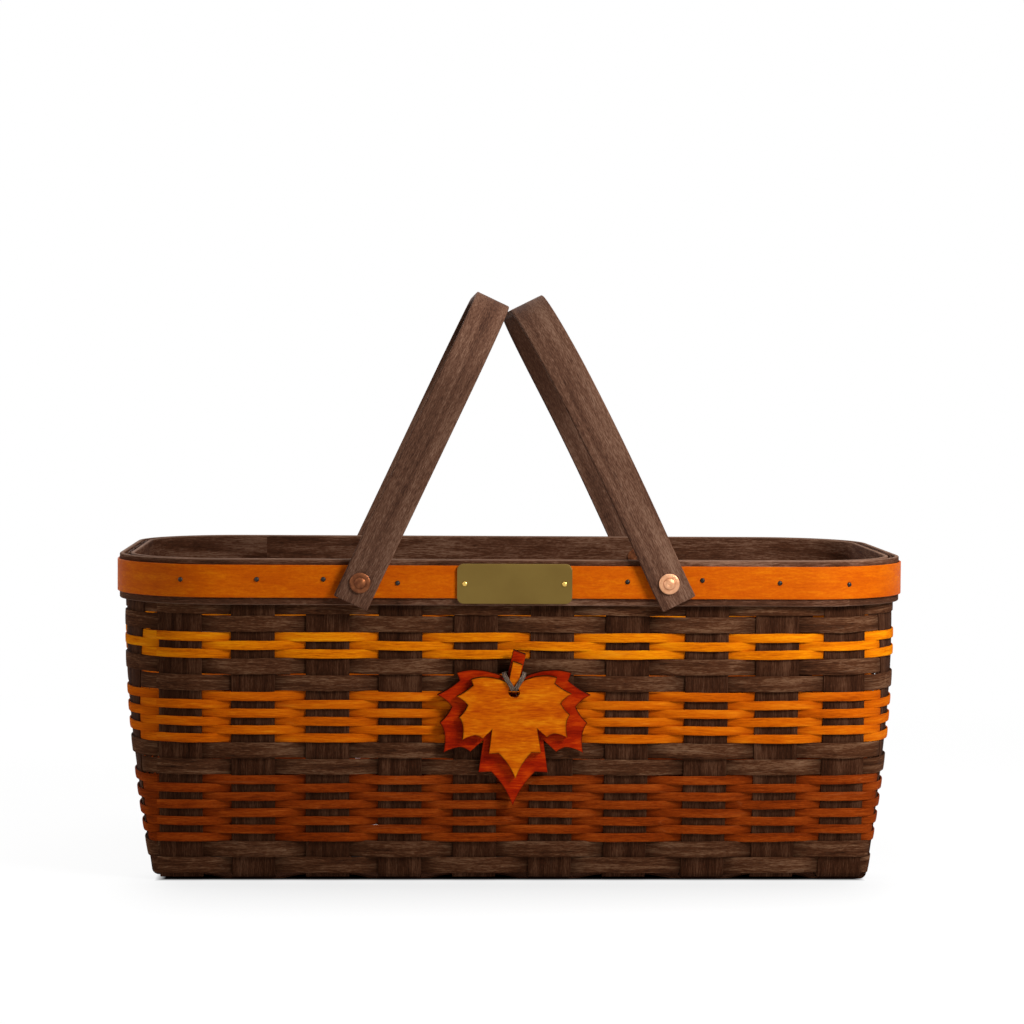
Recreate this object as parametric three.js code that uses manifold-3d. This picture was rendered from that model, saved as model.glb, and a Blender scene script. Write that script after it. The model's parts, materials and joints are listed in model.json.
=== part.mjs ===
import * as THREE from 'three';
import { mergeVertices } from 'three/addons/utils/BufferGeometryUtils.js';
import Module from 'manifold-3d';

const wasm = await Module();
wasm.setup();

// Splint basket in millimetres. +Z is up, and the front, with the plate and the leaves, faces -Y.

// Gap between pieces that touch on the real basket
const fit = 0.3;

// Splints: flat strips that cross in the base and turn up as the uprights of the walls
const crossSplints = 10;
const lengthSplints = 5;
const splintPitch = 42.8;
const splintWidth = 25.1;
const splintThickness = 1;
const splintBend = 2.1;
const splintTopDrop = 0.5;
const baseMargin = 2.8;

// Hand-set cross splints: how far each stands off its even place, from left to right
const crossShifts = [1, 0, 0, -1, -0.5, 0.7, 1.4, 4.4, 2.4, -0.8];

// Walls: the outward lean from base to rim, the belly half way up, and the plan's corner radius at each
const wallFlare = 18.8;
const wallBelly = 5.3;
const baseCorner = 4;
const rimCorner = 60;

// Weavers: bands of hoops in plain weave, from the rim down
const weaverThickness = 0.8;
const wideWeaver = 8.8;
const wideGap = 1;
const narrowWeaver = 4.4;
const narrowGap = 0.5;
const firstWeaverLift = 1;
const weaverBands = [
  { rows: 2, wide: true, dye: 'dark' },
  { rows: 3, wide: false, dye: 'golden' },
  { rows: 2, wide: true, dye: 'dark' },
  { rows: 6, wide: false, dye: 'orange' },
  { rows: 2, wide: true, dye: 'dark' },
  { rows: 8, wide: false, dye: 'rust' },
  { rows: 2, wide: true, dye: 'dark' },
];

// Rim: a hidden weaver between two bands, and a thin trim round the outer band
const bandHeight = 26.2;
const bandThickness = 2.5;
const bandLap = 3.2;
const rimWeaver = 9.3;
const rimWeaverDrop = 0.7;
const trimHeight = 18.8;
const trimThickness = 1;
const trimDrop = 3.2;

// Handles: flat strips bent over the basket, pivoting on rivets through the rim
const handleWidth = 21;
const handleThickness = 3.5;
const handleReach = 180.5;
const handleTail = 13;
const handleBend = 57;
const handleStandOff = 1;
const handleMeet = -2;
const pivotHalfSpan = 88.4;
const pivotDrop = 13;

// Rivets with a flat head inside, peened over a burr washer outside the handle
const rivetShank = 5;
const rivetHead = 11;
const rivetHeadHeight = 1.3;
const rivetPeen = 6.8;
const rivetPeenHeight = 1.1;
const burrDiameter = 12;
const burrThickness = 1;

// Plate and its two pins
const plateWidth = 66;
const plateHeight = 23;
const plateThickness = 0.8;
const plateCorner = 3.8;
const plateDrop = 13.5;
const pinInset = 4.4;
const pinShank = 1.4;
const pinHead = 3.2;
const pinHeadHeight = 1.2;
const pinDepth = 1.8;

// Leaves: the large one's right half from its hole, and the small one in front of it
const leafThickness = 3;
const leafHole = 6.6;
const leafStandOff = 3.4;
const smallLeafScale = 0.75;
const leafHalf = [
  [6.3, 8.5], [13.3, 11], [19.6, 12.2], [33, 10.8], [31.3, 6.3], [44.1, -2.2], [35.7, -9.2], [42.5, -18.7],
  [40, -24.2], [40.4, -36.3], [30.5, -33], [25, -35.8], [17.4, -28.8], [20, -48], [12.7, -47.6],
];
const leafTip = [0, -67.7];
const leafStem = [[4, 9.3], [6.7, 21.7], [-0.4, 24.4], [-3.9, 9.3]];

// Lace: from the leaves' hole over their shoulders, and through the weave to a knot inside
const laceDiameter = 1.2;
const laceNeck = 0.6;
const laceKnot = 3.4;
const laceRise = 8.2;
const laceHang = 2.5;
const laceHalf = [
  [1.2, 0.7, 4.8], [1.3, 1, 10], [2.4, 2.9, 11], [5.4, 8, 11], [6.6, 10.6, 9.6], [6.7, 11.2, 4.4],
  [5, 10.8, 2.6],
];
const laceUnderWeaver = 6;

// Facets of round pieces and bends
const roundFacets = 16;
const bendSteps = 3;
const handleBendSteps = 8;
const flatWallSteps = 6;
const cornerWallSteps = 12;
const laceSteps = 34;

const looks = {
  dark: { color: '#4a2f22', roughness: 0.6 },
  golden: { color: '#c0710f', roughness: 0.55 },
  orange: { color: '#a64a08', roughness: 0.55 },
  rust: { color: '#6f2a0a', roughness: 0.55 },
  trim: { color: '#c25a05', roughness: 0.45 },
  handle: { color: '#644435', roughness: 0.55 },
  copper: { color: '#b06d45', roughness: 0.35, metalness: 1 },
  brass: { color: '#8a7340', roughness: 0.4, metalness: 1 },
  redLeaf: { color: '#a02e05', roughness: 0.5 },
  goldLeaf: { color: '#c25a04', roughness: 0.5 },
  lace: { color: '#4d443d', roughness: 0.9 },
};

const { lerp, clamp } = THREE.MathUtils;

// Heights worked out from the base up
const underLevel = splintThickness / 2;
const crossLevel = underLevel + splintThickness + fit;
const overLevel = crossLevel + splintThickness + fit;
const weaverRows = weaverBands.flatMap((band) => {
  return Array.from({ length: band.rows }, () => ({ ...band }));
});
const rowHeight = (row) => (row.wide ? wideWeaver : narrowWeaver);
const gapUnder = (row) => (row.wide ? wideGap : narrowGap);
let stackTop = overLevel + splintThickness / 2 + firstWeaverLift;
for (const row of weaverRows.toReversed()) {
  row.low = stackTop + (row === weaverRows.at(-1) ? 0 : gapUnder(row));
  row.high = row.low + rowHeight(row);
  stackTop = row.high;
}
const bandBottom = stackTop - bandLap;
const rimTop = bandBottom + bandHeight;
const splintTop = rimTop - splintTopDrop;
const pivotZ = rimTop - pivotDrop;

// Distances outward from the wall's middle surface
const weaverOffset = (splintThickness + weaverThickness) / 2 + fit;
const weaveFace = weaverOffset + weaverThickness / 2;
const bandMiddle = weaveFace + fit + bandThickness / 2;
const bandFace = bandMiddle + bandThickness / 2;
const trimMiddle = bandFace + fit + trimThickness / 2;
const trimFace = trimMiddle + trimThickness / 2;

// The wall's middle surface: bellied lines from a small-cornered base up to a round-cornered rim
const crossSet = { count: crossSplints, shifts: crossShifts };
const lengthSet = { count: lengthSplints, shifts: [] };
const halfSpread = (set) => (set.count - 1) / 2 * splintPitch;
const splintAt = (index, set) => index * splintPitch - halfSpread(set) + (set.shifts[index] ?? 0);
const baseHalf = (set) => halfSpread(set) + splintWidth / 2 + baseMargin;
const basePlan = {
  halfLength: baseHalf(crossSet),
  halfWidth: baseHalf(lengthSet),
  corner: baseCorner,
};
const rimPlan = {
  halfLength: basePlan.halfLength + wallFlare,
  halfWidth: basePlan.halfWidth + wallFlare,
  corner: rimCorner,
};

// Distance of an outline from the middle, and its turn round the corner, at a place along one side
function outlineAt(plan, isEnd, along) {
  const halfAlong = isEnd ? plan.halfWidth : plan.halfLength;
  const halfAcross = isEnd ? plan.halfLength : plan.halfWidth;
  const past = Math.max(0, Math.abs(along) - halfAlong + plan.corner);
  const turn = Math.asin(past / plan.corner);
  return { reach: halfAcross - plan.corner * (1 - Math.cos(turn)), turn: turn * Math.sign(along) };
}

function wallAt(isEnd, along, z) {
  const rise = clamp((z - crossLevel) / (bandBottom - crossLevel), 0, 1);
  const base = outlineAt(basePlan, isEnd, along);
  const rim = outlineAt(rimPlan, isEnd, along);
  const belly = wallBelly * 4 * rise * (1 - rise);
  return { reach: lerp(base.reach, rim.reach, rise) + belly, turn: lerp(base.turn, rim.turn, rise) };
}

function wallPoint({ side, along }, z, offset) {
  const { reach, turn } = wallAt(side.isEnd, along, z);
  const across = side.out * (reach + offset * Math.cos(turn));
  const shifted = along + offset * Math.sin(turn);
  return side.isEnd ? new THREE.Vector3(across, shifted, z) : new THREE.Vector3(shifted, across, z);
}

// Lines across a splint: its two edges, and its middle where it bends round a corner
const isCornerSplint = (index, set) => index === 0 || index === set.count - 1;

function splintLines(index, set) {
  const centre = splintAt(index, set);
  const edges = [centre - splintWidth / 2, centre + splintWidth / 2];
  return isCornerSplint(index, set) ? [edges[0], centre, edges[1]] : edges;
}

// Stations in order round the basket, from the front's left end
const sides = [
  { isEnd: false, out: -1, set: crossSet, way: 1 },
  { isEnd: true, out: 1, set: lengthSet, way: 1 },
  { isEnd: false, out: 1, set: crossSet, way: -1 },
  { isEnd: true, out: -1, set: lengthSet, way: -1 },
];
const stations = [];
let uprights = 0;
for (const side of sides) {
  const { set, way } = side;
  for (let step = 0; step < set.count; step++) {
    const index = way > 0 ? step : set.count - 1 - step;
    const nearCorner = Math.min(index, set.count - 1 - index) < 2;
    const lines = splintLines(index, set);
    for (const along of way > 0 ? lines : lines.toReversed()) {
      stations.push({ side, along, nearCorner, upright: uprights });
    }
    uprights += 1;
  }
}
const rimStations = stations.filter((station) => station.nearCorner);

// A skin over sections with the same number of points, closed as a ring or capped at both ends
function skin(sections, isRing) {
  const size = sections[0].length;
  const spans = isRing ? sections.length : sections.length - 1;
  const index = [];
  const quad = (a, b, c, d) => index.push(a, b, c, a, c, d);
  for (let i = 0; i < spans; i++) {
    const here = i * size;
    const next = ((i + 1) % sections.length) * size;
    for (let j = 0; j < size; j++) {
      const k = (j + 1) % size;
      quad(here + j, next + j, next + k, here + k);
    }
  }
  if (!isRing) {
    const last = (sections.length - 1) * size;
    for (let j = 0; j < size / 2 - 1; j++) {
      quad(j, j + 1, size - 2 - j, size - 1 - j);
      quad(last + j + 1, last + j, last + size - 1 - j, last + size - 2 - j);
    }
  }
  const geometry = new THREE.BufferGeometry().setFromPoints(sections.flat());
  geometry.setIndex(index);
  return geometry;
}

// Solids for cutting and joining
function toSolid(geometry) {
  const plain = geometry.clone();
  plain.deleteAttribute('normal');
  plain.deleteAttribute('uv');
  const merged = mergeVertices(plain, 1e-4);
  const vertProperties = new Float32Array(merged.attributes.position.array);
  return new wasm.Manifold(new wasm.Mesh({
    numProp: 3,
    vertProperties,
    triVerts: new Uint32Array(merged.index.array),
  }));
}

function toGeometry(solid) {
  const mesh = solid.getMesh();
  const geometry = new THREE.BufferGeometry();
  geometry.setAttribute('position', new THREE.BufferAttribute(mesh.vertProperties, 3));
  geometry.setIndex(new THREE.BufferAttribute(mesh.triVerts, 1));
  return geometry;
}

function cut(geometry, tools) {
  const solid = tools.reduce((rest, tool) => rest.subtract(toSolid(tool)), toSolid(geometry));
  return toGeometry(solid);
}

const basket = new THREE.Group();

function add(name, geometry, look, parent = basket) {
  const material = new THREE.MeshStandardMaterial({ metalness: 0, ...looks[look], flatShading: true });
  const mesh = new THREE.Mesh(geometry, material);
  mesh.name = name;
  parent.add(mesh);
  return mesh;
}

// Points each side of a line in its own plane, on its left and on its right
function thicken(line, thickness) {
  return line.map((point, i) => {
    const before = line[Math.max(i - 1, 0)];
    const after = line[Math.min(i + 1, line.length - 1)];
    const along = after.clone().sub(before).normalize();
    const left = new THREE.Vector2(-along.y, along.x).multiplyScalar(thickness / 2);
    return { left: point.clone().add(left), right: point.clone().sub(left) };
  });
}

// Splints: pairs of points inside and outside a strip, round its bend from the base and up a wall
function placeAcross(side, along, across, z) {
  const reach = side.out * across;
  return side.isEnd ? new THREE.Vector3(reach, along, z) : new THREE.Vector3(along, reach, z);
}

function climb(side, along, level, wallSteps) {
  const half = splintThickness / 2;
  const bendTop = level + splintBend;
  const bendCentre = wallAt(side.isEnd, along, bendTop).reach - splintBend;
  const pairs = [];
  for (let i = 0; i < bendSteps; i++) {
    const angle = (i / bendSteps) * Math.PI / 2;
    pairs.push([splintBend - half, splintBend + half].map((radius) => placeAcross(
      side, along, bendCentre + radius * Math.sin(angle), bendTop - radius * Math.cos(angle))));
  }
  const heights = Array.from({ length: wallSteps + 1 }, (_, i) => lerp(bendTop, bandBottom, i / wallSteps));
  for (const z of [...heights, splintTop]) {
    pairs.push([-half, half].map((offset) => wallPoint({ side, along }, z, offset)));
  }
  return pairs;
}

// A splint runs down one wall, through the levels of its crossings in the base, and up the other wall
function splint(index, set, [startSide, endSide], crossings) {
  const wallSteps = isCornerSplint(index, set) ? cornerWallSteps : flatWallSteps;
  const lines = splintLines(index, set);
  const strips = (endSide.isEnd ? lines : lines.toReversed()).map((along) => [
    ...climb(startSide, along, crossings[0].level, wallSteps).reverse(),
    ...crossings.map(({ across, level }) => [1, -1].map((up) => placeAcross(
      endSide, along, across, level + up * splintThickness / 2))),
    ...climb(endSide, along, crossings.at(-1).level, wallSteps),
  ]);
  const sections = strips[0].map((_, i) => {
    const inside = strips.map((strip) => strip[i][0]);
    const outside = strips.map((strip) => strip[i][1]);
    return [...inside, ...outside.reverse()];
  });
  return skin(sections, false);
}

const nodeNumber = (index) => String(index + 1).padStart(2, '0');

const [front, right, back, left] = sides;

// Rods along Y for the holes of rivets and pins
function rodAlongY(diameter, x, z, from, to) {
  const rod = new THREE.CylinderGeometry(diameter / 2, diameter / 2, to - from, roundFacets);
  return rod.translate(x, (from + to) / 2, z);
}

const rimWidth = rimPlan.halfWidth;
const pastRim = rimWidth + 2 * trimFace;
const rivetHoleSize = rivetShank + 2 * fit;
const rivetHoles = [-1, 1].map((side) => {
  return rodAlongY(rivetHoleSize, side * pivotHalfSpan, pivotZ, -pastRim, pastRim);
});

// Rivets go through whatever splint or weaver stands in their way
for (let k = 0; k < crossSplints; k++) {
  const edge = basePlan.halfWidth - baseMargin;
  const crossings = [{ across: -edge, level: crossLevel }, { across: edge, level: crossLevel }];
  const strip = splint(k, crossSet, [front, back], crossings);
  add(`cross_splint_${nodeNumber(k)}`, cut(strip, rivetHoles), 'dark');
}

// Each lengthwise splint waves under and over the cross splints, one against the next
for (let j = 0; j < lengthSplints; j++) {
  const crossings = [];
  for (let k = 0; k < crossSplints; k++) {
    const level = (j + k) % 2 === 1 ? underLevel : overLevel;
    const [nearEdge, farEdge] = [-1, 1].map((way) => splintAt(k, crossSet) + way * splintWidth / 2);
    crossings.push({ across: nearEdge, level }, { across: farEdge, level });
  }
  add(`length_splint_${nodeNumber(j)}`, splint(j, lengthSet, [left, right], crossings), 'dark');
}

// Hoops round the wall: offsetAt gives the middle of the strip at each station
function hoop(around, low, high, thickness, offsetAt) {
  const sections = around.map((station) => {
    const inner = offsetAt(station) - thickness / 2;
    const outer = offsetAt(station) + thickness / 2;
    return [
      wallPoint(station, low, inner),
      wallPoint(station, low, outer),
      wallPoint(station, high, outer),
      wallPoint(station, high, inner),
    ];
  });
  return skin(sections, true);
}

// Plain weave: a row passes outside every second upright, and its neighbours outside the others
const weave = (row) => (station) => ((row + station.upright) % 2 === 0 ? weaverOffset : -weaverOffset);

weaverRows.forEach((row, i) => {
  add(`weaver_${nodeNumber(i)}`, hoop(stations, row.low, row.high, weaverThickness, weave(i)), row.dye);
});

const rimWeaverTop = rimTop - rimWeaverDrop;
const rimWeave = weave(weaverRows.length);
const rimHoop = hoop(stations, rimWeaverTop - rimWeaver, rimWeaverTop, weaverThickness, rimWeave);
add('rim_weaver', cut(rimHoop, rivetHoles), 'dark');

const pinX = plateWidth / 2 - pinInset;
const plateZ = rimTop - plateDrop;
const plateBack = rimWidth + trimFace + fit;
const plateFace = plateBack + plateThickness;
const pinEnd = rimWidth + bandFace - pinDepth;
const pinHoleSize = pinShank + 2 * fit;
const pinHoles = [-1, 1].map((side) => {
  return rodAlongY(pinHoleSize, side * pinX, plateZ, -plateFace - fit, fit - pinEnd);
});

const outerBand = hoop(rimStations, bandBottom, rimTop, bandThickness, () => bandMiddle);
const innerBand = hoop(rimStations, bandBottom, rimTop, bandThickness, () => -bandMiddle);
const trimTop = rimTop - trimDrop;
const trimBand = hoop(rimStations, trimTop - trimHeight, trimTop, trimThickness, () => trimMiddle);
add('outer_band', cut(outerBand, [...rivetHoles, ...pinHoles]), 'dark');
add('inner_band', cut(innerBand, rivetHoles), 'dark');
add('trim_band', cut(trimBand, [...rivetHoles, ...pinHoles]), 'trim');

// Handles: the strip's middle line in the plane of its legs, from the front tail over to the back one
const legFace = rimWidth + trimFace + handleStandOff;
const legMiddle = legFace + handleThickness / 2;
const legOuter = legFace + handleThickness;

function handleStrip() {
  const radius = handleBend - handleThickness / 2;
  const bendY = legOuter - handleBend;
  const bendZ = handleReach - handleBend;
  const half = [new THREE.Vector2(-legMiddle, -handleTail)];
  for (let i = 0; i <= handleBendSteps; i++) {
    const angle = (i / handleBendSteps) * Math.PI / 2;
    half.push(new THREE.Vector2(-bendY - radius * Math.cos(angle), bendZ + radius * Math.sin(angle)));
  }
  const mirrored = half.toReversed().map((p) => new THREE.Vector2(-p.x, p.y));
  const sections = thicken([...half, ...mirrored], handleThickness).map(({ left, right }) => [
    new THREE.Vector3(-handleWidth / 2, left.x, left.y),
    new THREE.Vector3(handleWidth / 2, left.x, left.y),
    new THREE.Vector3(handleWidth / 2, right.x, right.y),
    new THREE.Vector3(-handleWidth / 2, right.x, right.y),
  ].reverse());
  const hole = rodAlongY(rivetHoleSize, 0, 0, -legOuter - fit, legOuter + fit);
  return cut(skin(sections, false), [hole]);
}

// The handles lean in until the top edges of their strips meet, a little left of the middle
const topCorner = Math.hypot(handleReach, handleWidth / 2);
const cornerAngle = Math.atan2(handleWidth / 2, handleReach);
const handedness = [{ name: 'left', side: -1 }, { name: 'right', side: 1 }];
for (const { name, side } of handedness) {
  const topShift = pivotHalfSpan - fit / 2 - side * handleMeet;
  const lean = Math.asin(topShift / topCorner) - cornerAngle;
  const handle = add(`handle_${name}`, handleStrip(), 'handle');
  handle.position.set(side * pivotHalfSpan, 0, pivotZ);
  handle.rotation.y = -side * lean;
}

// Rivets and burrs are turned about Y: distances run outward from the basket's middle
const headFace = rimWidth - bandFace - fit;
const burrFace = legOuter + fit;
const peenFace = burrFace + burrThickness + fit;
function turned(profile) {
  return new THREE.LatheGeometry(profile.map(([r, y]) => new THREE.Vector2(r, y)), roundFacets);
}

function rivet() {
  const headTop = headFace - rivetHeadHeight;
  const peenTop = peenFace + rivetPeenHeight;
  const headEdge = headFace - rivetHeadHeight / 2;
  const peenEdge = peenFace + rivetPeenHeight / 2;
  const domeShare = 0.7;
  return turned([
    [0, headTop],
    [domeShare * rivetHead / 2, headTop],
    [rivetHead / 2, headEdge],
    [rivetHead / 2, headFace],
    [rivetShank / 2, headFace],
    [rivetShank / 2, peenFace],
    [rivetPeen / 2, peenFace],
    [rivetPeen / 2, peenEdge],
    [domeShare * rivetPeen / 2, peenTop],
    [0, peenTop],
  ]);
}

function burr() {
  const bore = rivetHoleSize / 2;
  const rim = burrDiameter / 2;
  const outer = burrFace + burrThickness;
  return turned([[bore, burrFace], [rim, burrFace], [rim, outer], [bore, outer], [bore, burrFace]]);
}

for (const { face, turn } of [{ face: 'front', turn: Math.PI }, { face: 'back', turn: 0 }]) {
  for (const { name, side } of handedness) {
    const pair = [
      add(`rivet_${face}_${name}`, rivet(), 'copper'),
      add(`burr_${face}_${name}`, burr(), 'copper'),
    ];
    for (const mesh of pair) {
      mesh.position.set(side * pivotHalfSpan, 0, pivotZ);
      mesh.rotation.z = turn;
    }
  }
}

// Shapes drawn in X and Z stand up and grow outward to the front
function standUp(shape, thickness, arcSteps) {
  const options = { depth: thickness, bevelEnabled: false, curveSegments: arcSteps };
  return new THREE.ExtrudeGeometry(shape, options).rotateX(Math.PI / 2);
}

function roundHole(diameter, x, y) {
  return new THREE.Path().absarc(x, y, diameter / 2, 0, 2 * Math.PI, true);
}

function plate() {
  const x = plateWidth / 2 - plateCorner;
  const y = plateHeight / 2 - plateCorner;
  const shape = new THREE.Shape();
  shape.absarc(x, y, plateCorner, 0, Math.PI / 2);
  shape.absarc(-x, y, plateCorner, Math.PI / 2, Math.PI);
  shape.absarc(-x, -y, plateCorner, Math.PI, 1.5 * Math.PI);
  shape.absarc(x, -y, plateCorner, 1.5 * Math.PI, 2 * Math.PI);
  shape.holes = [roundHole(pinHoleSize, -pinX, 0), roundHole(pinHoleSize, pinX, 0)];
  return standUp(shape, plateThickness, roundFacets / 4);
}
add('brass_plate', plate(), 'brass').position.set(0, -plateBack, plateZ);

function pin() {
  const headBase = plateFace + fit;
  const dome = [];
  const domeSteps = 4;
  for (let i = 0; i <= domeSteps; i++) {
    const angle = (i / domeSteps) * Math.PI / 2;
    dome.push([pinHead / 2 * Math.cos(angle), headBase + pinHeadHeight * Math.sin(angle)]);
  }
  dome[domeSteps][0] = 0;
  return turned([[0, pinEnd], [pinShank / 2, pinEnd], [pinShank / 2, headBase], ...dome]);
}
for (const { name, side } of handedness) {
  const mesh = add(`plate_pin_${name}`, pin(), 'brass');
  mesh.position.set(side * pinX, 0, plateZ);
  mesh.rotation.z = Math.PI;
}

// Ornament: hung in the gap under one weaver, and leaning as the front wall does from there to the tip
const hangRow = weaverRows[laceUnderWeaver - 1];
const hangZ = hangRow.low - gapUnder(hangRow) / 2;
const leafDrop = laceRise - leafTip[1];
const hangReach = wallAt(false, 0, hangZ).reach;
const tipReach = wallAt(false, 0, hangZ - leafDrop).reach;
const ornament = new THREE.Group();
ornament.position.set(0, -hangReach, hangZ);
ornament.rotation.x = Math.atan2(hangReach - tipReach, leafDrop);
basket.add(ornament);

function leaf(scale) {
  const leftHalf = leafHalf.map(([x, y]) => [-x, y]);
  const outline = [...leafStem, ...leftHalf, leafTip, ...leafHalf.toReversed()];
  const shape = new THREE.Shape(outline.map(([x, y]) => new THREE.Vector2(x * scale, y * scale)));
  shape.holes = [roundHole(leafHole, 0, 0)];
  return standUp(shape, leafThickness, roundFacets / 2);
}
const smallLeafStandOff = leafStandOff + leafThickness + fit;
const backLeaf = add('leaf_back', leaf(1), 'redLeaf', ornament);
backLeaf.position.set(0, -leafStandOff, -laceRise);
const frontLeaf = add('leaf_front', leaf(smallLeafScale), 'goldLeaf', ornament);
frontLeaf.position.set(0, -smallLeafStandOff, -laceRise);

function lace() {
  const half = laceHalf.map(([x, up, out]) => new THREE.Vector3(x, -out, up - laceRise));
  const mirrored = half.toReversed().map((p) => new THREE.Vector3(-p.x, p.y, p.z));
  const route = new THREE.CatmullRomCurve3([...half, new THREE.Vector3(0, -laceHang, 0), ...mirrored]);
  const section = new THREE.Shape().absarc(0, 0, laceDiameter / 2, 0, 2 * Math.PI);
  const options = { steps: laceSteps, extrudePath: route, curveSegments: roundFacets / 4 };
  const cord = new THREE.ExtrudeGeometry(section, options);
  const knotY = weaveFace + laceKnot / 2;
  const neck = rodAlongY(laceNeck, 0, 0, -laceHang, knotY);
  const knot = new THREE.SphereGeometry(laceKnot / 2, roundFacets / 2, roundFacets / 2);
  knot.translate(0, knotY, 0);
  return toGeometry(toSolid(cord).add(toSolid(neck)).add(toSolid(knot)));
}
add('leaf_lace', lace(), 'lace', ornament);

export default basket;
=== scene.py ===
import json
import math

import bpy
import numpy as np
from mathutils import Matrix, Vector


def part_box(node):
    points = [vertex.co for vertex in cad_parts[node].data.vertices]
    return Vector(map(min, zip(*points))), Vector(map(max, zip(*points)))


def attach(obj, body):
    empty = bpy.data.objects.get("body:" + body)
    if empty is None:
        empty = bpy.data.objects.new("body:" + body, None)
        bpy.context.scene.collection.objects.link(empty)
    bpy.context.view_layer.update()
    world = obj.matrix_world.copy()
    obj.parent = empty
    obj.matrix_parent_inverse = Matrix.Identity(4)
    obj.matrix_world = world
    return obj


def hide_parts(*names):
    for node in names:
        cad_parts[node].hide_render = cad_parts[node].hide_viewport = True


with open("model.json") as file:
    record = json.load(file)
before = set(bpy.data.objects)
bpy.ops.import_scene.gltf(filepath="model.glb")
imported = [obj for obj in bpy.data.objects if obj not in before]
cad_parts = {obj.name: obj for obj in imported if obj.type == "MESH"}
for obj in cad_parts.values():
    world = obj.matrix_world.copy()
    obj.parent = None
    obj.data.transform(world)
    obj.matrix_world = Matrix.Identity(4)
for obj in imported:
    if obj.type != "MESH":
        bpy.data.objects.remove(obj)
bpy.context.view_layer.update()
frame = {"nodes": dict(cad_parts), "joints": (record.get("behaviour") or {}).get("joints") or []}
scene = bpy.context.scene
scene.view_settings.view_transform = "Standard"
mm = 0.001
print("frame loaded:", len(frame["nodes"]), "nodes")

# Camera where the photograph was taken from, solved from the rim, the uprights and the rivets
camera = {
    "position": (-64.45, -1817.4, 297.2),   # mm
    "yaw": 0.03701, "pitch": 0.04794, "roll": 0.00638,
    "focal": 2963.6, "image": 1024, "sensor": 36,   # focal length and image side in pixels
    "clip": (0.05, 60),   # metres
}


def placeCamera(look):
    # a level view axis turned right by the yaw and down by the pitch, and the picture rolled about it
    cy, sy = math.cos(look["yaw"]), math.sin(look["yaw"])
    cp, sp = math.cos(look["pitch"]), math.sin(look["pitch"])
    cr, sr = math.cos(look["roll"]), math.sin(look["roll"])
    ahead = np.array([sy * cp, cy * cp, -sp])
    level = np.array([cy, -sy, 0])
    above = np.cross(level, ahead)
    right, up = level * cr + above * sr, above * cr - level * sr
    data = bpy.data.cameras.new("camera")
    data.sensor_width = look["sensor"]
    data.lens = look["focal"] * look["sensor"] / look["image"]
    data.clip_start, data.clip_end = look["clip"]
    eye = bpy.data.objects.new("camera", data)
    scene.collection.objects.link(eye)
    eye.matrix_world = Matrix(np.column_stack([right, up, -ahead]).tolist()).to_4x4()
    eye.location = [v * mm for v in look["position"]]
    scene.camera = eye


placeCamera(camera)
print("camera placed")


def linear(code):   # sRGB hex to linear colour
    c = np.array([int(code[i:i + 2], 16) for i in (1, 3, 5)]) / 255
    c = np.where(c <= 0.04045, c / 12.92, ((c + 0.055) / 1.055) ** 2.4)
    return (*c.tolist(), 1.0)


def addNode(tree, kind, inputs=(), stops=(), **settings):
    # one node with its settings; inputs go by name, or by order to the sockets in use, and each is a value, a
    # socket or a node that feeds it from its first output in use; stops are a colour ramp's
    node = tree.nodes.new("ShaderNode" + kind)
    for key, value in settings.items():
        setattr(node, key, value)
    sockets = [socket for socket in node.inputs if socket.enabled]
    if isinstance(inputs, dict):
        sockets, inputs = [node.inputs[key] for key in inputs], inputs.values()
    for socket, value in zip(sockets, inputs):
        if isinstance(value, bpy.types.Node):
            value = next(output for output in value.outputs if output.enabled)
        if isinstance(value, bpy.types.NodeSocket):
            tree.links.new(value, socket)
        else:
            socket.default_value = value
    for i, (place, colour) in enumerate(stops):
        elements = node.color_ramp.elements
        stop = elements[i] if i < 2 else elements.new(place)
        stop.position, stop.color = place, linear(colour)
    return node


def newMaterial(name):   # a material whose node tree is still empty
    material = bpy.data.materials.new(name)
    material.use_nodes = True
    material.node_tree.nodes.clear()
    return material, material.node_tree


def grain(tree, place, sizeMm, detail, rough=0.5, twist=0.0):
    # noise whose clouds are about sizeMm long along each axis of the place
    spread = addNode(tree, "Mapping", {"Vector": place, "Scale": [1 / (size * mm) for size in sizeMm]})
    return addNode(tree, "TexNoise", {"Vector": spread, "Scale": 1.0, "Detail": detail, "Roughness": rough,
                                      "Distortion": twist})


def finishMaterial(tree, colour, marks, rough, relief, more, height=None):
    # fine marks that take the roughness from its low to its high value, and a relief of (strength, metres)
    gloss = addNode(tree, "MapRange", [marks, 0.3, 0.7, *rough])   # most of a noise lies between these two
    bump = addNode(tree, "Bump", {"Strength": relief[0], "Distance": relief[1], "Height": height or marks})
    shader = addNode(tree, "BsdfPrincipled", {"Base Color": colour, "Roughness": gloss, "Normal": bump,
                                              **more})
    addNode(tree, "OutputMaterial", [shader])


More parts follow.
